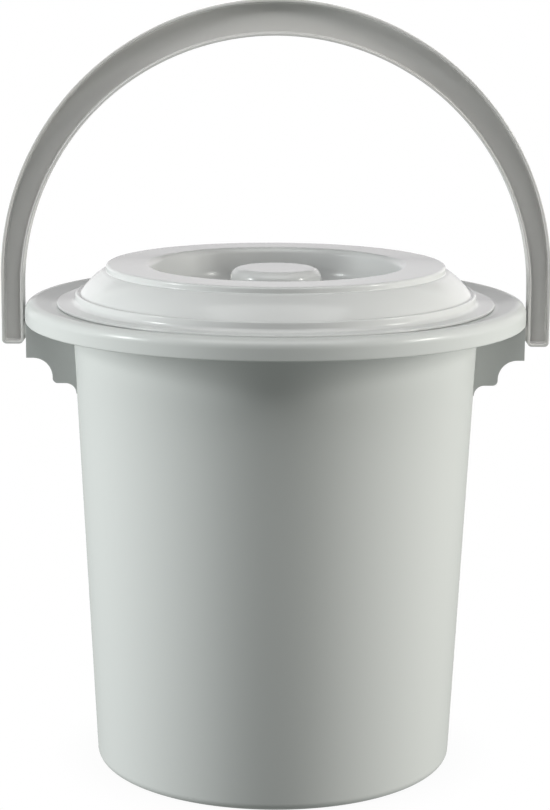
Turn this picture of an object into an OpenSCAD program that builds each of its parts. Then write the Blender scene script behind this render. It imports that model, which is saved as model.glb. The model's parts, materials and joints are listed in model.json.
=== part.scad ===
// Lidded household pail of about ten litres: a tapered bucket with a drooping rim and two
// handle brackets, a domed lid with a sunk finger bowl and a knob, and a swinging bail.
// The origin is the middle of the foot, Z is up, and the handle turns about an axis along X.

/* [Bucket] */
// Outside diameter of the rim
rim_d = 287; // [275:1:300]
// Height of the rim's crown above the foot
rim_h = 272; // [240:1:320]
// Outside diameter of the tapered wall at the rim's lower edge
neck_d = 233; // [226:1:238]
// Outside diameter of the tapered wall, carried down to the foot
foot_d = 207.6; // [190:0.2:222]
// Thickness of the wall and the rim
wall_t = 1.8; // [1.4:0.1:2.2]
// Thickness of the floor
floor_t = 2.4; // [1.8:0.1:3.5]
// Height of the foot ring under the floor
foot_h = 2.2; // [1:0.1:4]
// Width of the foot ring's resting face
foot_w = 3; // [2:0.5:8]
// Radius of the outer edge at the foot
foot_round = 5; // [3:0.5:8]
// Height of the rim's skirt, from its lower edge to the crown
skirt_h = 12; // [10:0.5:16]
// Radius over the rim's crown
crown_round = 5.5; // [4:0.5:7]
// Slope of the rim's inner side, in degrees
crown_slope = 16; // [8:1:25]
// How far the lid's seat lies below the crown
seat_drop = 2.6; // [2:0.1:4]

/* [Handle brackets] */
// Width of a bracket across its two side plates
ear_w = 34; // [28:1:40]
// Thickness of the bracket plates
ear_t = 2.2; // [1.6:0.1:3]
// How far a bracket's outer face lies inside the rim's edge
ear_in = 1.2; // [0.8:0.1:4]
// How far a bracket's outer plate hangs below the rim's lower edge
ear_drop = 20.6; // [19:0.1:26]
// Radius of the upper scallop in a bracket's side plate
ear_scallop = 11; // [8:0.5:12]
// Depth of the lower step in a bracket's side plate
ear_step = 14.6; // [14:0.1:18]

/* [Lid] */
// How far the edge of the lid's brim lies inside the rim's edge
brim_in = 18; // [17.5:0.5:21]
// Thickness of the lid
lid_t = 1.6; // [1.2:0.1:2]
// Diameter of the step where it rises from the brim
step_d = 234.4; // [233:0.2:238]
// Diameter of the flat ring on top of the lid
deck_d = 194.6; // [185:0.2:198]
// Height of the flat ring above the rim's crown
deck_h = 20.4; // [16:0.2:26]
// Diameter of the finger bowl's mouth
bowl_d = 151; // [140:1:156]
// Depth of the finger bowl
bowl_depth = 25; // [20:0.5:26]
// Diameter of the knob
knob_d = 52; // [40:1:60]
// How far the knob's top lies below the flat ring
knob_drop = 2.4; // [1:0.1:8]
// Radius of the knob's shoulder
knob_round = 5.7; // [4:0.1:8]
// Depth of the collar that locates the lid in the bucket's mouth
collar_h = 8; // [5:0.5:12]

/* [Handle] */
// Gap between the rim and each leg of the handle
leg_gap = 1.2; // [1:0.1:3]
// Width of a leg, from its inner to its outer edge
leg_w = 12.5; // [11:0.5:16]
// Height of the handle's top above the rim's crown
bail_rise = 169.8; // [160:0.1:190]
// Depth of the handle's grip at the top
grip_h = 20.2; // [15:0.1:26]
// Thickness of the handle from front to back
bail_t = 14; // [11:0.5:18]
// Thickness of the flange around the handle
flange_t = 1.5; // [1.2:0.1:2.5]
// Thickness of the web between the flanges
web_t = 2; // [1.5:0.1:3]
// How far the pivot lies below the rim's lower edge
pivot_drop = 6.5; // [6.2:0.1:8]
// Distance from the pivot down to the end of a leg
leg_end = 7.7; // [7:0.1:9]
// Diameter of the pivot pegs
peg_d = 8; // [6:0.5:9]

/* [Hidden] */
$fn = 128;
plastic = [0.79, 0.80, 0.79];
peg_fit = 0.06;      // radial clearance of a peg in its hole
lid_gap = 0.1;       // the lid's brim stands this far off its seat
arc_steps = 10;      // pieces in a small arc
over = 1;            // how far a cutting solid runs past the face it cuts

rim_r = rim_d / 2;
lip_z = rim_h - skirt_h;
seat_z = rim_h - seat_drop;
floor_z = foot_h + floor_t;
taper = atan((neck_d - foot_d) / 2 / lip_z);
crown_x = rim_r - crown_round;
crown_z = rim_h - crown_round;
mouth_round = 5;     // radius over the mouth's edge, inside
seat_round = 5;      // radius where the rim's slope meets the seat
floor_round = 6;     // radius between the wall and the floor, inside

ear_reach = rim_r - ear_in;
ear_low_z = lip_z - ear_drop;
ear_step_z = ear_low_z - ear_step;
ear_toe = 4;         // flat under the outer plate, outside the scallop
ear_corner = 2.9;    // radius of the step's corner
ear_tail = 6;        // radius of the lower scallop, which runs out on the wall

deck_z = rim_h + deck_h;
brim_r = rim_r - brim_in;
brim_z = seat_z + lid_gap + lid_t;
knob_foot = 3;       // radius round the foot of the knob
knob_flare = 0.8;    // how much wider the knob is at its foot
bowl_round = 15;     // radius between the bowl's side and its floor
bowl_edge = 4;       // radius over the bowl's mouth
bowl_draft = 10;     // slope of the bowl's side, in degrees
deck_edge = 1.5;     // radius round the flat ring
deck_side = 3.7;     // height of the flat ring's upright edge
dome_r = 41;         // radius of the domed shoulder, in section
dome_in = 19.7;      // its centre lies this far inside the flat ring's edge
dome_down = 38.8;    // and this far below the flat ring
ring_down = 16;      // depth of the small ring below the flat ring
ring_edge = 1;       // radius over the ring's bead
ring_step = 3.4;     // the bead's centre lies this far inside the step's foot
brim_flare = 2.4;    // radius where the ring rises from the brim
collar_r = wall_r(seat_z, wall_t) - 1.4;
collar_edge = 0.6;   // chamfer at the collar's lower edge

bail_gap = rim_d + 2 * leg_gap;
bail_w = bail_gap + 2 * leg_w;
bail_h = rim_h + bail_rise;
pivot_z = lip_z - pivot_drop;
leg_round = 2.6;     // radius at the corners of a leg's end
peg_r = peg_d / 2;
peg_collar = 1.4;    // how far the peg's collar stands out round the pin
peg_play = 0.5;      // gap between the collar and the bracket
snap_l = 3.4;        // length of the snap head
snap_out = 1;        // how far the snap head stands out round the pin
snap_tip = 0.8;      // how much thinner than the pin its tip is
snap_play = 0.4;     // gap between the snap head and the bracket

// Points of an arc about [x, z], between two angles
function arc(x, z, r, from, to, steps = arc_steps) =
  [for (i = [0 : steps]) let (a = from + (to - from) * i / steps) [x + r * cos(a), z + r * sin(a)]];

// A list of points in the opposite order
function backwards(list) = [for (i = [len(list) - 1 : -1 : 0]) list[i]];

// Radius of the wall at a height, at a depth below its outer surface
function wall_r(z, depth = 0) = foot_d / 2 + z * tan(taper) - depth / cos(taper);

// Rim surface at a depth below its top, from the edge of the skirt in to the mouth
function rim_skin(depth) =
  let (
    slope_x = crown_x - crown_round * sin(crown_slope),
    slope_z = crown_z + crown_round * cos(crown_slope),
    fall = slope_z - seat_z - seat_round * (1 - cos(crown_slope)),
    seat_x = slope_x - fall / tan(crown_slope) - seat_round * sin(crown_slope),
    mouth_z = seat_z - mouth_round,
    mouth_x = wall_r(mouth_z, wall_t) + mouth_round / cos(taper)
  )
  concat(
    arc(crown_x, crown_z, crown_round - depth, 0, 90 + crown_slope),
    arc(seat_x, seat_z + seat_round, seat_round + depth, -90 + crown_slope, -90, 4),
    arc(mouth_x, mouth_z, mouth_round - depth, 90, 180 - taper)
  );

module bucket_shell() {
  foot_x = wall_r(foot_round) - foot_round / cos(taper);
  inner_z = floor_z + floor_round;
  inner_x = wall_r(inner_z, wall_t) - floor_round / cos(taper);
  lip_r = wall_t / 2;
  rotate_extrude()
    polygon(concat(
      [[0, foot_h], [foot_x - foot_w - foot_h / 2, foot_h], [foot_x - foot_w, 0]],
      arc(foot_x, foot_round, foot_round, -90, -taper),
      backwards(rim_skin(wall_t)),
      arc(rim_r - lip_r, lip_z + lip_r, lip_r, -180, 0),
      rim_skin(0),
      arc(inner_x, inner_z, floor_round, -taper, -90),
      [[0, floor_z]]
    ));
}

// Side plate of a bracket: a scallop, a small step and a second scallop run down to the wall
module ear_plate_outline() {
  scallop_x = ear_reach - ear_toe;
  step_x = scallop_x - ear_scallop;
  wall_x = wall_r(ear_step_z) - wall_t / 2;
  polygon(concat(
    [[wall_x, rim_h], [ear_reach, rim_h], [ear_reach, ear_low_z]],
    arc(scallop_x, ear_low_z - ear_scallop, ear_scallop, 90, 180),
    arc(step_x - ear_corner, ear_step_z + ear_corner, ear_corner, 0, -90),
    arc(wall_x + ear_tail, ear_step_z - ear_tail, ear_tail, 90, 180),
    [[wall_x - wall_t, ear_step_z - ear_tail]]
  ));
}

// The space under the rim, out to the middle of the plastic that bounds it
module under_rim() {
  low_z = ear_step_z - ear_step;
  middle = wall_t / 2;
  rotate_extrude()
    polygon(concat(
      [
        [wall_r(low_z, middle), low_z],
        [rim_r, low_z],
        [rim_r, lip_z + middle],
        [rim_r - middle, lip_z + middle]
      ],
      rim_skin(middle)
    ));
}

// Bracket on the +X side, open underneath, with the hole for the handle's peg
module ear() {
  difference() {
    intersection() {
      union() {
        for (y = [-ear_w / 2, ear_w / 2 - ear_t])
          translate([0, y + ear_t, 0]) rotate([90, 0, 0]) linear_extrude(ear_t) ear_plate_outline();
        translate([ear_reach - ear_t, -ear_w / 2, ear_low_z])
          cube([ear_t, ear_w, crown_z - ear_low_z]);
      }
      under_rim();
    }
    translate([ear_reach - ear_t - over, 0, pivot_z]) rotate([0, 90, 0])
      cylinder(h = ear_t + 2 * over, r = peg_r + peg_fit);
  }
}

module bucket() {
  color(plastic) union() {
    bucket_shell();
    ear();
    mirror([1, 0, 0]) ear();
  }
}

// Upper surface of the lid at a depth below it, from the knob's middle out to the brim
function lid_skin(depth) =
  let (
    knob_x = knob_d / 2,
    knob_z = deck_z - knob_drop - knob_round,
    bowl_z = deck_z - bowl_depth,
    bowl_rounds = bowl_round + bowl_edge,
    straight = bowl_depth - bowl_rounds * (1 - sin(bowl_draft)),
    bowl_x = bowl_d / 2 - bowl_rounds * cos(bowl_draft) - straight * tan(bowl_draft),
    deck_x = deck_d / 2,
    step_x = step_d / 2,
    ring_z = deck_z - ring_down
  )
  concat(
    [[0, knob_z + knob_round - depth]],
    arc(knob_x - knob_round, knob_z, knob_round - depth, 90, -4),
    arc(knob_x + knob_foot + knob_flare, bowl_z + knob_foot, knob_foot + depth, 176, 270, 6),
    arc(bowl_x, bowl_z + bowl_round, bowl_round + depth, -90, -bowl_draft),
    arc(bowl_d / 2, deck_z - bowl_edge, bowl_edge - depth, 180 - bowl_draft, 90),
    arc(deck_x - deck_edge, deck_z - deck_edge, max(deck_edge - depth, 0), 90, 0, 4),
    [[deck_x - depth, deck_z - deck_side - depth / 2]],
    arc(deck_x - dome_in, deck_z - dome_down, dome_r - depth, 59, 32.5),
    arc(step_x - ring_step, ring_z - ring_edge, max(ring_edge - depth, 0), 150, 8, 6),
    arc(step_x, brim_z + brim_flare, brim_flare + depth, 188, 270, 6)
  );

module lid() {
  edge = lid_t / 2;
  collar_low_z = brim_z - lid_t - collar_h;
  collar_in = collar_r - lid_t;
  color(plastic) rotate_extrude()
    polygon(concat(
      lid_skin(0),
      arc(brim_r - edge, brim_z - edge, edge, 90, -90, 6),
      [
        [collar_r, brim_z - lid_t],
        [collar_r, collar_low_z + collar_edge],
        [collar_r - collar_edge, collar_low_z],
        [collar_in, collar_low_z],
        [collar_in, deck_z - ring_down - lid_t]
      ],
      backwards([for (p = lid_skin(lid_t)) if (p[0] < collar_in - over / 2) p])
    ));
}

// Outline of one leg with a rounded end, from its end up to a height
module leg_outline(x_in, x_out, end_z, top_z, corner) {
  translate([x_in, end_z + corner]) square([x_out - x_in, top_z - end_z - corner]);
  translate([x_in + corner, end_z]) square([x_out - x_in - 2 * corner, 2 * corner]);
  for (x = [x_in + corner, x_out - corner])
    translate([x, end_z + corner]) circle(corner);
}

// Outline of the whole handle, drawn in by an inset on every side
module bail_outline(inset) {
  r_out = bail_w / 2 - inset;
  r_in = bail_gap / 2 + inset;
  z_out = bail_h - bail_w / 2;
  z_in = bail_h - grip_h - bail_gap / 2;
  end_z = pivot_z - leg_end + inset;
  difference() {
    translate([0, z_out]) circle(r_out);
    translate([0, z_in]) circle(r_in);
    translate([-r_out, z_out - r_out]) square([2 * r_out, z_in - z_out + r_out]);
  }
  for (side = [0, 1])
    mirror([side, 0]) leg_outline(r_in, r_out, end_z, z_out, leg_round - inset / 2);
}

// Peg on the +X leg: a collar against the leg, the pin, and a snap head behind the bracket
module peg() {
  root_x = bail_gap / 2 + flange_t;
  collar_x = ear_reach + peg_play;
  head_x = ear_reach - ear_t - snap_play;
  translate([0, 0, pivot_z]) rotate([0, 90, 0]) {
    translate([0, 0, collar_x]) cylinder(h = root_x - collar_x, r = peg_r + peg_collar);
    translate([0, 0, head_x]) cylinder(h = root_x - head_x, r = peg_r);
    translate([0, 0, head_x - snap_l])
      cylinder(h = snap_l, r1 = peg_r - snap_tip, r2 = peg_r + snap_out);
  }
}

module handle() {
  pocket = (bail_t - web_t) / 2 + over;
  color(plastic) {
    difference() {
      translate([0, bail_t / 2, 0]) rotate([90, 0, 0]) linear_extrude(bail_t) bail_outline(0);
      for (y = [bail_t / 2 + over, -web_t / 2])
        translate([0, y, 0]) rotate([90, 0, 0]) linear_extrude(pocket) bail_outline(flange_t);
    }
    peg();
    mirror([1, 0, 0]) peg();
  }
}

bucket();
lid();
handle();
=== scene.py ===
import bpy
import bmesh
import json
from math import atan, cos, hypot, pi, radians, sin, sqrt, tan
from mathutils import Euler, Matrix, Vector


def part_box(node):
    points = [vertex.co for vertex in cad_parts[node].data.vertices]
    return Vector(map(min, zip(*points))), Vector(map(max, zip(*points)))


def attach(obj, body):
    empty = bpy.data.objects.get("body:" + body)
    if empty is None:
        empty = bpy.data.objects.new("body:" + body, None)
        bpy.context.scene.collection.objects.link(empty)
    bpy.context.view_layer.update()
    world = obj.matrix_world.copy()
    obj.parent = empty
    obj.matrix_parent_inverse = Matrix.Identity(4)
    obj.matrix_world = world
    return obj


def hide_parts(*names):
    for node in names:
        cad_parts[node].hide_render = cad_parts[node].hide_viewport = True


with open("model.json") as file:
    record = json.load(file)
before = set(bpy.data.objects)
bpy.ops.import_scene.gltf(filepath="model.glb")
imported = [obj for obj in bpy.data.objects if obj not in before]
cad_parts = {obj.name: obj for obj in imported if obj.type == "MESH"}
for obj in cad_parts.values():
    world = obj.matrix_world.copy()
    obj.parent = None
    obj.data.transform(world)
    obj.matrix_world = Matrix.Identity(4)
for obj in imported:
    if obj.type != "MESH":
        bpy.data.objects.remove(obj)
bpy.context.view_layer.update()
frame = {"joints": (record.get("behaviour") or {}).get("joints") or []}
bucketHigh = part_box("bucket")[1]
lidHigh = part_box("lid")[1]
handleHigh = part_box("handle")[1]
pivot = Vector(next(j for j in frame["joints"] if j["name"] == "handle_swing")["pos_m"])
mm = 0.001


def arcPoints(x, z, radius, start, end, steps=12):
    turn = (end - start) / steps
    angles = [radians(start + turn * i) for i in range(steps + 1)]
    return [(x + radius * cos(a), z + radius * sin(a)) for a in angles]


def withSupports(points, gap=0.0006, longest=0.012):
    # extra points beside each bend keep the shading of the long straight runs even
    out = [points[0]]
    for (x0, z0), (x1, z1) in zip(points, points[1:]):
        length = hypot(x1 - x0, z1 - z0)
        if length < 1e-7:
            continue
        stops = []
        if length > 4 * gap:
            inner = length - 2 * gap
            count = max(1, round(inner / longest))
            stops = [gap + inner * i / count for i in range(count + 1)]
        for stop in stops:
            t = stop / length
            out.append((x0 + (x1 - x0) * t, z0 + (z1 - z0) * t))
        out.append((x1, z1))
    return out


def socketId(tree, name):
    return next(s.identifier for s in tree.interface.items_tree if s.name == name and s.in_out == "INPUT")


def makeSpinTree():
    tree = bpy.data.node_groups.new("spinProfile", "GeometryNodeTree")
    face = tree.interface
    face.new_socket("Profile", in_out="INPUT", socket_type="NodeSocketGeometry")
    face.new_socket("Segments", in_out="INPUT", socket_type="NodeSocketInt").default_value = 256
    face.new_socket("Profile Points", in_out="INPUT", socket_type="NodeSocketInt").default_value = 2
    face.new_socket("Finish", in_out="INPUT", socket_type="NodeSocketMaterial")
    face.new_socket("Shell", in_out="OUTPUT", socket_type="NodeSocketGeometry")
    node, wire = tree.nodes.new, tree.links.new

    def math(kind, a, b=None):
        n = node("ShaderNodeMath")
        n.operation = kind
        for socket, value in zip(n.inputs, (a, b)):
            if isinstance(value, (int, float)):
                socket.default_value = value
            elif value is not None:
                wire(value, socket)
        return n.outputs[0]

    given = node("NodeGroupInput")
    grid = node("GeometryNodeMeshGrid")
    wire(math("ADD", given.outputs["Segments"], 1), grid.inputs["Vertices X"])
    wire(given.outputs["Profile Points"], grid.inputs["Vertices Y"])
    place = node("GeometryNodeInputPosition")
    split = node("ShaderNodeSeparateXYZ")
    wire(place.outputs[0], split.inputs[0])
    turn = math("MULTIPLY", math("ADD", split.outputs["X"], 0.5), 2 * pi)
    along = math("ADD", split.outputs["Y"], 0.5)
    row = math("MULTIPLY", along, math("SUBTRACT", given.outputs["Profile Points"], 1))
    pick = node("GeometryNodeSampleIndex")
    pick.data_type = "FLOAT_VECTOR"
    pick.domain = "POINT"
    wire(given.outputs["Profile"], pick.inputs["Geometry"])
    wire(place.outputs[0], pick.inputs["Value"])
    wire(math("ROUND", row), pick.inputs["Index"])
    outline = node("ShaderNodeSeparateXYZ")
    wire(pick.outputs[0], outline.inputs[0])
    bent = node("ShaderNodeCombineXYZ")
    wire(math("MULTIPLY", outline.outputs["X"], math("COSINE", turn)), bent.inputs["X"])
    wire(math("MULTIPLY", outline.outputs["X"], math("SINE", turn)), bent.inputs["Y"])
    wire(outline.outputs["Z"], bent.inputs["Z"])
    move = node("GeometryNodeSetPosition")
    wire(grid.outputs["Mesh"], move.inputs["Geometry"])
    wire(bent.outputs[0], move.inputs["Position"])
    weld = node("GeometryNodeMergeByDistance")
    weld.inputs["Distance"].default_value = 1e-6
    wire(move.outputs[0], weld.inputs["Geometry"])
    smooth = node("GeometryNodeSetShadeSmooth")
    wire(weld.outputs[0], smooth.inputs["Geometry"])
    real = node("GeometryNodeRealizeInstances")
    wire(smooth.outputs[0], real.inputs["Geometry"])
    paint = node("GeometryNodeSetMaterial")
    wire(real.outputs[0], paint.inputs["Geometry"])
    wire(given.outputs["Finish"], paint.inputs["Material"])
    done = node("NodeGroupOutput")
    wire(paint.outputs[0], done.inputs["Shell"])
    return tree


spinTree = makeSpinTree()


def newObject(name, data):
    made = bpy.data.objects.new(name, data)
    bpy.context.scene.collection.objects.link(made)
    return made


def spin(name, points, finish, segments=288):
    profile = bpy.data.meshes.new(name + "Profile")
    profile.from_pydata([(x, 0, z) for x, z in points], [(i, i + 1) for i in range(len(points) - 1)], [])
    holder = newObject(name + "Holder", profile)
    turned = holder.modifiers.new("spin", "NODES")
    turned.node_group = spinTree
    turned[socketId(spinTree, "Segments")] = segments
    turned[socketId(spinTree, "Profile Points")] = len(points)
    turned[socketId(spinTree, "Finish")] = finish
    mesh = bpy.data.meshes.new_from_object(holder.evaluated_get(bpy.context.evaluated_depsgraph_get()))
    holder.modifiers.clear()
    bpy.data.objects.remove(holder)
    mesh.name = name
    faceOutwards(mesh)
    return newObject(name, mesh)


def faceOutwards(mesh):
    bm = bmesh.new()
    bm.from_mesh(mesh)
    bmesh.ops.remove_doubles(bm, verts=bm.verts, dist=1e-6)
    bmesh.ops.recalc_face_normals(bm, faces=bm.faces)
    bm.to_mesh(mesh)
    bm.free()


def plastic(name, look):
    mat = bpy.data.materials.new(name)
    mat.use_nodes = True
    nodes, links = mat.node_tree.nodes, mat.node_tree.links
    shader = nodes["Principled BSDF"]
    shader.inputs["IOR"].default_value = 1.49
    shader.inputs["Subsurface Weight"].default_value = look["glow"]
    shader.inputs["Subsurface Radius"].default_value = (1.0, 1.0, 1.0)
    shader.inputs["Subsurface Scale"].default_value = look["glowDepth"]
    where = nodes.new("ShaderNodeTexCoord")

    def noise(scale, detail):
        n = nodes.new("ShaderNodeTexNoise")
        n.inputs["Scale"].default_value = scale
        n.inputs["Detail"].default_value = detail
        links.new(where.outputs["Object"], n.inputs["Vector"])
        return n.outputs["Fac"]

    def spread(value, low, high):
        n = nodes.new("ShaderNodeMapRange")
        n.inputs["From Min"].default_value = 0.3
        n.inputs["From Max"].default_value = 0.7
        n.inputs["To Min"].default_value = low
        n.inputs["To Max"].default_value = high
        links.new(value, n.inputs["Value"])
        return n.outputs["Result"]

    tint = nodes.new("ShaderNodeMix")
    tint.data_type = "RGBA"
    tint.inputs["A"].default_value = (*look["colour"], 1)
    tint.inputs["B"].default_value = (*look["cloud"], 1)
    links.new(noise(look["cloudScale"], 3), tint.inputs["Factor"])
    links.new(tint.outputs["Result"], shader.inputs["Base Color"])
    links.new(spread(noise(look["hazeScale"], 4), *look["roughness"]), shader.inputs["Roughness"])
    skin = nodes.new("ShaderNodeBump")
    skin.inputs["Strength"].default_value = look["grain"]
    skin.inputs["Distance"].default_value = look["grainDepth"]
    links.new(noise(look["grainScale"], 2), skin.inputs["Height"])
    links.new(skin.outputs["Normal"], shader.inputs["Normal"])
    return mat


greyLook = {
    "colour": (0.560, 0.574, 0.564),
    "cloud": (0.556, 0.571, 0.561),
    "cloudScale": 9,
    "roughness": (0.262, 0.270),
    "hazeScale": 45,
    "grain": 0.10,
    "grainDepth": 0.0001,
    "grainScale": 900,
    "glow": 0.0,
    "glowDepth": 0.003,
}
lidLook = {
    **greyLook,
    "colour": (0.575, 0.582, 0.578),
    "cloud": (0.570, 0.578, 0.574),
    "roughness": (0.190, 0.195),
}
# painted light: the handle's grey is made lighter than the bucket's to make up for the shade in its
# flanged pocket
handleLook = {
    **greyLook,
    "colour": (0.655, 0.646, 0.634),
    "cloud": (0.649, 0.640, 0.628),
}
bucketGrey = plastic("bucketGrey", greyLook)
lidGrey = plastic("lidGrey", lidLook)
handleGrey = plastic("handleGrey", handleLook)

bucketSizes = {
    "wall": 1.8 * mm,
    "floor": 2.4 * mm,
    "footHeight": 2.2 * mm,
    "footWidth": 3 * mm,
    "footRound": 5 * mm,
    "floorRound": 6 * mm,
    "footRadius": 103.8 * mm,  # the wall carried down to the floor
    "neckRadius": 116.5 * mm,  # the wall at the rim's lower edge
    "skirt": 12 * mm,
    "crownRound": 5.5 * mm,
    "crownSlope": 16,
    "seatDrop": 2.6 * mm,
    "seatRound": 5 * mm,
    "mouthRound": 5 * mm,
}
rimRadius = bucketHigh.y
rimTop = bucketHigh.z
lipHeight = rimTop - bucketSizes["skirt"]
seatHeight = rimTop - bucketSizes["seatDrop"]
taper = atan((bucketSizes["neckRadius"] - bucketSizes["footRadius"]) / lipHeight)


def wallRadius(z, depth=0.0):
    return bucketSizes["footRadius"] + z * tan(taper) - depth / cos(taper)


def rimSkin(depth):
    s = bucketSizes
    slope = radians(s["crownSlope"])
    crownX, crownZ = rimRadius - s["crownRound"], rimTop - s["crownRound"]
    slopeX = crownX - s["crownRound"] * sin(slope)
    slopeZ = crownZ + s["crownRound"] * cos(slope)
    fall = slopeZ - seatHeight - s["seatRound"] * (1 - cos(slope))
    seatX = slopeX - fall / tan(slope) - s["seatRound"] * sin(slope)
    mouthZ = seatHeight - s["mouthRound"]
    mouthX = wallRadius(mouthZ, s["wall"]) + s["mouthRound"] / cos(taper)
    tilt = taper * 180 / pi
    seatArc = s["seatRound"] + depth
    return (
        arcPoints(crownX, crownZ, s["crownRound"] - depth, 0, 90 + s["crownSlope"], 18)
        + arcPoints(seatX, seatHeight + s["seatRound"], seatArc, s["crownSlope"] - 90, -90, 6)
        + arcPoints(mouthX, mouthZ, s["mouthRound"] - depth, 90, 180 - tilt, 14)
    )


def bucketOutline():
    s = bucketSizes
    tilt = taper * 180 / pi
    floorTop = s["footHeight"] + s["floor"]
    footX = wallRadius(s["footRound"]) - s["footRound"] / cos(taper)
    ringX = footX - s["footWidth"]
    innerZ = floorTop + s["floorRound"]
    innerX = wallRadius(innerZ, s["wall"]) - s["floorRound"] / cos(taper)
    bead = s["wall"] / 2
    return (
        [(0, s["footHeight"]), (0.01, s["footHeight"])]
        + arcPoints(ringX - 1.9 * mm, s["footHeight"] - 0.8 * mm, 0.8 * mm, 90, 25, 4)
        + arcPoints(ringX, 0.6 * mm, 0.6 * mm, 200, 270, 4)
        + arcPoints(footX, s["footRound"], s["footRound"], -90, -tilt, 14)
        + rimSkin(s["wall"])[::-1]
        + arcPoints(rimRadius - bead, lipHeight + bead, bead, 180, 360, 12)
        + rimSkin(0)
        + arcPoints(innerX, innerZ, s["floorRound"], -tilt, -90, 10)
        + [(0.01, floorTop), (0, floorTop)]
    )


bucketShell = spin("bucketShell", withSupports(bucketOutline()), bucketGrey)
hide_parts("bucket")
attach(bucketShell, "bucket_body")
print("bucket shell done")

bracketSizes = {
    "width": 34 * mm,
    "plate": 2.2 * mm,
    "reach": 142.3 * mm,
    "drop": 20.6 * mm,
    "scallop": 11 * mm,
    "step": 14.6 * mm,
    "corner": 2.9 * mm,
    "footScallop": 6 * mm,
    "ledge": 4 * mm,
    "hole": 4.06 * mm,
    "edge": 0.35 * mm,
}


def extruded(name, outline, toPlace, thickness):
    # a closed outline made into a plate; toPlace puts a flat point at a depth into the bucket's frame
    bm = bmesh.new()
    front = [bm.verts.new(toPlace(a, b, 0.0)) for a, b in outline]
    back = [bm.verts.new(toPlace(a, b, thickness)) for a, b in outline]
    bm.faces.new(front)
    bm.faces.new(back[::-1])
    for i in range(len(outline)):
        j = (i + 1) % len(outline)
        bm.faces.new((front[i], back[i], back[j], front[j]))
    bmesh.ops.recalc_face_normals(bm, faces=bm.faces)
    mesh = bpy.data.meshes.new(name)
    bm.to_mesh(mesh)
    bm.free()
    return newObject(name, mesh)


def sidePlateOutline(y):
    s = bracketSizes
    lowZ = lipHeight - s["drop"]
    stepZ = lowZ - s["step"]
    stepX = s["reach"] - s["ledge"] - s["scallop"]
    middle = bucketSizes["wall"] / 2
    inside = [(sqrt(r * r - y * y), z) for r, z in rimSkin(middle)]
    wallX = wallRadius(stepZ) - 1 * mm
    lowest = stepZ - s["footScallop"]
    return (
        [(s["reach"], lowZ)]
        + arcPoints(s["reach"] - s["ledge"], lowZ - s["scallop"], s["scallop"], 90, 180, 16)
        + arcPoints(stepX - s["corner"], stepZ + s["corner"], s["corner"], 0, -90, 8)
        + arcPoints(wallX + s["footScallop"], lowest, s["footScallop"], 90, 180, 10)
        + [(wallRadius(lowest, middle) - y * y / 2 / wallRadius(lowest), lowest)]
        + inside[::-1]
        + [(s["reach"], lipHeight + middle)]
    )


def join(target, other, operation):
    step = target.modifiers.new("join", "BOOLEAN")
    step.operation = operation
    step.solver = "EXACT"
    step.object = other
    mesh = bpy.data.meshes.new_from_object(target.evaluated_get(bpy.context.evaluated_depsgraph_get()))
    target.modifiers.clear()
    target.data = mesh
    bpy.data.objects.remove(other)


def makeBracket(name, side):
    s = bracketSizes
    half, plate = s["width"] / 2, s["plate"]
    front = extruded(name, sidePlateOutline(half), lambda a, b, d: (side * a, -half + d, b), plate)
    back = extruded("back", sidePlateOutline(half), lambda a, b, d: (side * a, half - d, b), plate)
    lowZ, topZ = lipHeight - s["drop"], rimTop - bucketSizes["crownRound"]
    rectangle = [(-half, lowZ), (half, lowZ), (half, topZ), (-half, topZ)]
    outer = extruded("outer", rectangle, lambda a, b, d: (side * (s["reach"] - d), a, b), plate)
    ring = [(s["hole"] * cos(a), s["hole"] * sin(a)) for a in (2 * pi * i / 64 for i in range(64))]
    reachOut = s["reach"] + plate
    drill = extruded("drill", ring, lambda a, b, d: (side * (reachOut - d), a, pivot.z + b), 3 * plate)
    join(front, back, "UNION")
    join(front, outer, "UNION")
    join(front, drill, "DIFFERENCE")
    soft = front.modifiers.new("soft edges", "BEVEL")
    soft.width = s["edge"]
    soft.segments = 3
    soft.limit_method = "ANGLE"
    soft.angle_limit = radians(40)
    soft.harden_normals = True
    mesh = bpy.data.meshes.new_from_object(front.evaluated_get(bpy.context.evaluated_depsgraph_get()))
    front.modifiers.clear()
    front.data = mesh
    mesh.name = name
    mesh.materials.clear()
    mesh.materials.append(bucketGrey)
    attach(front, "bucket_body")
    return front


for bracketName, bracketSide in (("bracketRight", 1), ("bracketLeft", -1)):
    makeBracket(bracketName, bracketSide)
print("brackets done")

lidSizes = {
    "wall": 1.6 * mm,
    "brimRadius": 125.5 * mm,
    "stepRadius": 117.2 * mm,
    "deckRadius": 97.3 * mm,
    "deckEdge": 1.5 * mm,
    "deckSide": 3.7 * mm,
    "bowlRadius": 75.5 * mm,
    "bowlDepth": 25 * mm,
    "bowlRound": 15 * mm,
    "bowlEdge": 4 * mm,
    "bowlDraft": 10,
    "knobRadius": 26 * mm,
    "knobDrop": 2.4 * mm,
    "knobRound": 5.7 * mm,
    "knobFoot": 3 * mm,
    "knobFlare": 0.8 * mm,
    "domeRadius": 41 * mm,
    "domeIn": 19.7 * mm,  # the dome's centre, inside the flat ring's edge
    "domeDown": 38.8 * mm,  # and below the flat ring
    "domeArc": (58.6, 32.5),
    "deckFoot": 0.5 * mm,  # small round where the upright edge meets the dome
    "smallest": 0.1 * mm,  # least round on an inner corner
    "ringDown": 16 * mm,
    "ringStep": 3.4 * mm,
    "ringEdge": 1 * mm,
    "brimFlare": 2.4 * mm,
    "collarRadius": 113.5 * mm,
    "collarDrop": 8 * mm,
}
deckHeight = lidHigh.z
brimTop = seatHeight + 0.1 * mm + lidSizes["wall"]


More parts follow.
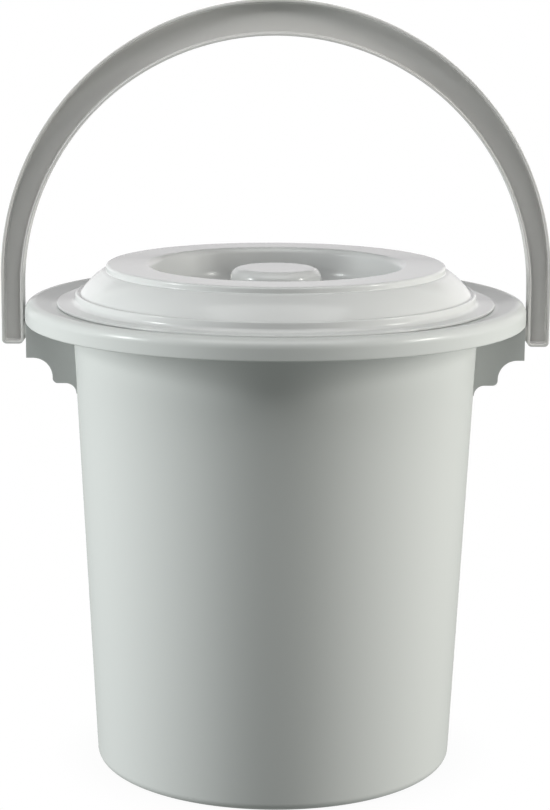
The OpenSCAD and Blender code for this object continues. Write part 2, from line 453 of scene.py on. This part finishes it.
def lidSkin(depth):
    s = lidSizes
    draft = radians(s["bowlDraft"])
    bowlZ = deckHeight - s["bowlDepth"]
    knobZ = deckHeight - s["knobDrop"] - s["knobRound"]
    rounds = s["bowlRound"] + s["bowlEdge"]
    straight = s["bowlDepth"] - rounds * (1 - sin(draft))
    bowlX = s["bowlRadius"] - rounds * cos(draft) - straight * tan(draft)
    deckX, ringTop = s["deckRadius"], deckHeight - s["ringDown"]
    corner = s["deckFoot"]
    footZ = deckHeight - s["deckSide"] - depth * 0.6
    knobX = s["knobRadius"] + s["knobFoot"] + s["knobFlare"]
    deckEdge, ringEdge = (max(s[edge] - depth, s["smallest"]) for edge in ("deckEdge", "ringEdge"))
    bowlTop, domeZ = deckHeight - s["bowlEdge"], deckHeight - s["domeDown"]
    domeStart, domeEnd = s["domeArc"]
    return (
        [(0, knobZ + s["knobRound"] - depth), (0.004, knobZ + s["knobRound"] - depth)]
        + arcPoints(s["knobRadius"] - s["knobRound"], knobZ, s["knobRound"] - depth, 90, -4, 18)
        + arcPoints(knobX, bowlZ + s["knobFoot"], s["knobFoot"] + depth, 176, 270, 10)
        + arcPoints(bowlX, bowlZ + s["bowlRound"], s["bowlRound"] + depth, -90, -s["bowlDraft"], 18)
        + arcPoints(s["bowlRadius"], bowlTop, s["bowlEdge"] - depth, 180 - s["bowlDraft"], 90, 14)
        + arcPoints(deckX - s["deckEdge"], deckHeight - s["deckEdge"], deckEdge, 90, 0, 8)
        + arcPoints(deckX - depth + corner, footZ + corner, corner, 180, 270, 4)
        + arcPoints(deckX - s["domeIn"], domeZ, s["domeRadius"] - depth, domeStart, domeEnd, 20)
        + arcPoints(s["stepRadius"] - s["ringStep"], ringTop - s["ringEdge"], ringEdge, 150, 8, 9)
        + arcPoints(s["stepRadius"], brimTop + s["brimFlare"], s["brimFlare"] + depth, 188, 270, 9)
    )


def lidOutline():
    s = lidSizes
    edge = s["wall"] / 2
    collarX = s["collarRadius"]
    collarZ = brimTop - s["wall"] - s["collarDrop"]
    inner = [p for p in lidSkin(s["wall"]) if p[0] < collarX - s["wall"] - 0.5 * mm]
    return (
        lidSkin(0)
        + arcPoints(s["brimRadius"] - edge, brimTop - edge, edge, 90, -90, 12)
        + arcPoints(collarX + 0.5 * mm, brimTop - s["wall"] - 0.5 * mm, 0.5 * mm, 90, 180, 4)
        + arcPoints(collarX - 0.7 * mm, collarZ + 0.7 * mm, 0.7 * mm, 0, -90, 5)
        + arcPoints(collarX - s["wall"] + 0.5 * mm, collarZ + 0.5 * mm, 0.5 * mm, -90, -180, 4)
        + [(collarX - s["wall"], deckHeight - s["ringDown"] - s["wall"])]
        + inner[::-1]
    )


lidShell = spin("lidShell", withSupports(lidOutline()), lidGrey)
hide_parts("lid")
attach(lidShell, "lid_body")
print("lid done")

handleSizes = {
    "gap": 144.7 * mm,
    "grip": 20.2 * mm,
    "flange": 1.5 * mm,
    "web": 2 * mm,
    "legEnd": 7.7 * mm,
    "legCorner": 2.6 * mm,
    "edge": 0.4 * mm,
    "pocketRound": 0.8 * mm,
    "pegRadius": 4 * mm,
    "collarRadius": 5.4 * mm,
}
handleWide = handleHigh.x
handleTop = handleHigh.z
handleDeep = handleHigh.y


def handleLoop(inset, y, arcSteps=128, cornerSteps=6):
    # outer edge from the left leg's end over the top to the right, then the inner edge back
    s = handleSizes
    outR, inR = handleWide - inset, s["gap"] + inset
    outZ = handleTop - handleWide
    inZ = handleTop - s["grip"] - s["gap"]
    endZ = pivot.z - s["legEnd"] + inset
    corner = max(s["legCorner"] - inset * 0.7, 0.3 * mm)
    outer = arcPoints(0, outZ, outR, 180, 0, arcSteps)
    inner = arcPoints(0, inZ, inR, 0, 180, arcSteps)
    legStops, downStops = (0.0, 0.33, 0.66), (0.34, 0.67, 1.0)
    low = endZ + corner
    leftUp = [(-outR, low + (outZ - low) * t) for t in legStops]
    rightDown = [(outR, outZ + (low - outZ) * t) for t in downStops]
    rightUp = [(inR, low + (inZ - low) * t) for t in legStops]
    leftDown = [(-inR, inZ + (low - inZ) * t) for t in downStops]
    rightEnd = (
        arcPoints(outR - corner, endZ + corner, corner, 0, -90, cornerSteps)[1:]
        + arcPoints(inR + corner, endZ + corner, corner, -90, -180, cornerSteps)[:-1]
    )
    leftEnd = (
        arcPoints(-inR - corner, endZ + corner, corner, 0, -90, cornerSteps)[1:]
        + arcPoints(-outR + corner, endZ + corner, corner, -90, -180, cornerSteps)[:-1]
    )
    flat = leftUp + outer + rightDown + rightEnd + rightUp + inner + leftDown + leftEnd
    return [(x, y, z) for x, z in flat]


def makeHandle():
    s = handleSizes
    edge, deep = s["edge"], handleDeep
    webFace = s["web"] / 2
    endPoints = 11  # points round a leg's end, between the outer and the inner run
    lead = 0.5 * mm  # each side of the flange's rounded edge
    halfTurn = [radians(90 * i / 4) for i in range(5)]
    # (inset, depth) of each loop from the middle of the outside to the middle of the web
    steps = [(0.0, 0.0), (0.0, deep - edge - lead)]
    steps += [(edge * (1 - cos(a)), deep - edge * (1 - sin(a))) for a in halfTurn]
    steps += [(s["flange"] - edge * (1 - sin(a)), deep - edge * (1 - cos(a))) for a in halfTurn]
    steps += [(s["flange"] + 0.05 * mm, deep - edge - lead)]
    bend = s["pocketRound"]
    steps += [
        (s["flange"] + 0.2 * mm + bend * (1 - cos(a)), webFace + bend * (1 - sin(a))) for a in halfTurn
    ]
    steps += [(s["flange"] + 0.2 * mm + bend + 0.4 * mm, webFace)]
    bm = bmesh.new()
    middle = [bm.verts.new(p) for p in handleLoop(*steps[0])]
    count = len(middle)
    for side in (-1, 1):
        last = middle
        for inset, depth in steps[1:]:
            loop = [bm.verts.new(p) for p in handleLoop(inset, side * depth)]
            for i in range(count):
                j = (i + 1) % count
                bm.faces.new((last[i], last[j], loop[j], loop[i]))
            last = loop
        # the web between the outer run and the inner run, which have as many points each
        half = count // 2 - endPoints
        outerRun = last[:half]
        innerRun = last[half + endPoints : 2 * half + endPoints][::-1]
        for i in range(half - 1):
            bm.faces.new((outerRun[i], outerRun[i + 1], innerRun[i + 1], innerRun[i]))
        bm.faces.new([outerRun[-1]] + last[half : half + endPoints] + [innerRun[-1]])
        bm.faces.new([innerRun[0]] + last[2 * half + endPoints :] + [outerRun[0]])
    bmesh.ops.recalc_face_normals(bm, faces=bm.faces)
    for f in bm.faces:
        f.smooth = True
    mesh = bpy.data.meshes.new("handleArch")
    bm.to_mesh(mesh)
    bm.free()
    mesh.materials.append(handleGrey)
    return newObject("handleArch", mesh)


handleArch = makeHandle()
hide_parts("handle")
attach(handleArch, "handle_body")


def makePeg(name, side):
    s = handleSizes
    root = s["gap"] + s["flange"] * 0.6
    collar = bracketSizes["reach"] + 0.5 * mm
    head = bracketSizes["reach"] - bracketSizes["plate"] - 0.4 * mm
    pin, wide = s["pegRadius"], s["collarRadius"]
    tip = head - 3.4 * mm
    outline = [(0, root), (wide, root)]
    outline += arcPoints(wide - 0.3 * mm, collar + 0.3 * mm, 0.3 * mm, 0, -90, 4)
    outline += [(pin, collar), (pin, head)]
    outline += arcPoints(pin + 0.7 * mm, head - 0.3 * mm, 0.3 * mm, 90, -10, 4)
    outline += arcPoints(pin - 1.2 * mm, tip + 0.4 * mm, 0.4 * mm, -10, -90, 4)
    outline += [(0, tip)]
    peg = spin(name, withSupports(outline, 0.0002), handleGrey, 64)
    peg.data.transform(Matrix.Rotation(side * pi / 2, 4, "Y"))
    peg.data.transform(Matrix.Translation((0, 0, pivot.z)))
    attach(peg, "handle_body")


for pegName, pegSide in (("pegRight", 1), ("pegLeft", -1)):
    makePeg(pegName, pegSide)
print("handle done")

stageLook = {
    "floorSize": 12.0,
    "paper": 1.0,  # brightness of the sweep of white paper
    "paintedShadow": 0.95,  # painted contact shadow: how dark the paper's glow is painted right under the bucket
    "paintedShadowReach": 0.03,
    "bounce": (0.35, 0.37, 0.355),  # light that comes back up from the floor
    "room": (0.02, 0.02, 0.02),
}


def makeFloor():
    mesh = bpy.data.meshes.new("floor")
    bm = bmesh.new()
    bmesh.ops.create_circle(bm, cap_ends=True, segments=96, radius=stageLook["floorSize"])
    bm.to_mesh(mesh)
    bm.free()
    floor = newObject("floor", mesh)
    # the paper is only what the camera sees; its light comes from the lower half of the surroundings
    floor.visible_diffuse = floor.visible_glossy = floor.visible_transmission = False
    paint = bpy.data.materials.new("whitePaper")
    paint.use_nodes = True
    nodes, links = paint.node_tree.nodes, paint.node_tree.links
    nodes.clear()
    # painted contact shadow: ambient occlusion darkens the paper's glow close to the bucket
    paintedShadowAO = nodes.new("ShaderNodeAmbientOcclusion")
    paintedShadowAO.samples = 16
    paintedShadowAO.inputs["Distance"].default_value = stageLook["paintedShadowReach"]
    shade = nodes.new("ShaderNodeMapRange")
    shade.inputs["To Min"].default_value = stageLook["paintedShadow"]
    shade.inputs["To Max"].default_value = stageLook["paper"]
    glow = nodes.new("ShaderNodeEmission")
    out = nodes.new("ShaderNodeOutputMaterial")
    links.new(paintedShadowAO.outputs["AO"], shade.inputs["Value"])
    links.new(shade.outputs["Result"], glow.inputs["Strength"])
    links.new(glow.outputs[0], out.inputs["Surface"])
    mesh.materials.append(paint)


def makeSurroundings():
    world = bpy.data.worlds.new("studio")
    bpy.context.scene.world = world
    world.use_nodes = True
    nodes, links = world.node_tree.nodes, world.node_tree.links
    nodes.clear()
    where = nodes.new("ShaderNodeTexCoord")
    split = nodes.new("ShaderNodeSeparateXYZ")
    links.new(where.outputs["Generated"], split.inputs[0])
    horizon = nodes.new("ShaderNodeMapRange")
    horizon.inputs["From Min"].default_value = -0.08
    horizon.inputs["From Max"].default_value = 0.08
    links.new(split.outputs["Z"], horizon.inputs["Value"])
    tone = nodes.new("ShaderNodeMix")
    tone.data_type = "RGBA"
    tone.inputs["A"].default_value = (*stageLook["bounce"], 1)
    tone.inputs["B"].default_value = (*stageLook["room"], 1)
    links.new(horizon.outputs["Result"], tone.inputs["Factor"])
    light = nodes.new("ShaderNodeBackground")
    links.new(tone.outputs["Result"], light.inputs["Color"])
    paper = nodes.new("ShaderNodeBackground")
    paper.inputs["Color"].default_value = (1, 1, 1, 1)
    paper.inputs["Strength"].default_value = stageLook["paper"]
    rays = nodes.new("ShaderNodeLightPath")
    either = nodes.new("ShaderNodeMixShader")
    out = nodes.new("ShaderNodeOutputWorld")
    links.new(rays.outputs["Is Camera Ray"], either.inputs[0])
    links.new(light.outputs[0], either.inputs[1])
    links.new(paper.outputs[0], either.inputs[2])
    links.new(either.outputs[0], out.inputs[0])


# angles are turned from the front towards the right, and up from the middle of the bucket;
# a soft lamp gives no mirror image of itself in the plastic
lamps = {
    "keyLeft": {"turn": -71, "up": 24, "width": 0.20, "tall": 0.26, "watts": 6.8, "soft": False},
    "keyRight": {"turn": 71, "up": 24, "width": 0.20, "tall": 0.26, "watts": 6.5, "soft": False},
    "sideLeft": {"turn": -88, "up": 7, "width": 0.50, "tall": 0.50, "watts": 23.5, "soft": True},
    "sideRight": {"turn": 88, "up": 7, "width": 0.50, "tall": 0.50, "watts": 22.5, "soft": True},
    "above": {"turn": 0, "up": 66, "width": 1.60, "tall": 1.10, "watts": 13.8, "soft": False},
    "backdrop": {"turn": 180, "up": 14, "width": 2.60, "tall": 0.90, "watts": 6.4, "soft": False},
}
coolTint, warmTint = (0.97, 1.0, 0.995), (1.0, 0.99, 0.945)
lampColours = {
    "keyLeft": coolTint,
    "keyRight": warmTint,
    "sideLeft": coolTint,
    "sideRight": warmTint,
    "above": (0.995, 1.0, 0.995),
    "backdrop": (1.0, 0.975, 0.995),
}
lampAim = Vector((0, 0, 0.22))
lampDistance = 1.6


def makeLamp(name, s):
    data = bpy.data.lights.new(name, "AREA")
    data.shape = "RECTANGLE"
    data.size, data.size_y = s["width"], s["tall"]
    data.energy = s["watts"]
    data.color = lampColours[name]
    lamp = newObject(name, data)
    turn, up = radians(s["turn"]), radians(s["up"])
    way = Vector((sin(turn) * cos(up), -cos(turn) * cos(up), sin(up)))
    lamp.location = lampAim + way * lampDistance
    lamp.rotation_euler = way.to_track_quat("Z", "Y").to_euler()
    lamp.visible_camera = False
    lamp.visible_glossy = not s["soft"]


makeFloor()
makeSurroundings()
for lampName, lampSizes in lamps.items():
    makeLamp(lampName, lampSizes)

view = {"distance": 1.3, "height": 0.465, "down": 11.12, "roll": 0.36, "lens": 101.4}
cameraData = bpy.data.cameras.new("camera")
cameraData.sensor_width = 36
cameraData.lens = view["lens"]
camera = newObject("camera", cameraData)
camera.location = (0, -view["distance"], view["height"])
camera.rotation_mode = "XYZ"
camera.matrix_world = (
    Matrix.Translation(camera.location)
    @ Euler((radians(90 - view["down"]), 0, 0)).to_matrix().to_4x4()
    @ Matrix.Rotation(radians(view["roll"]), 4, "Z")
)
bpy.context.scene.camera = camera
bpy.context.scene.view_settings.view_transform = "Standard"
print("stage done")
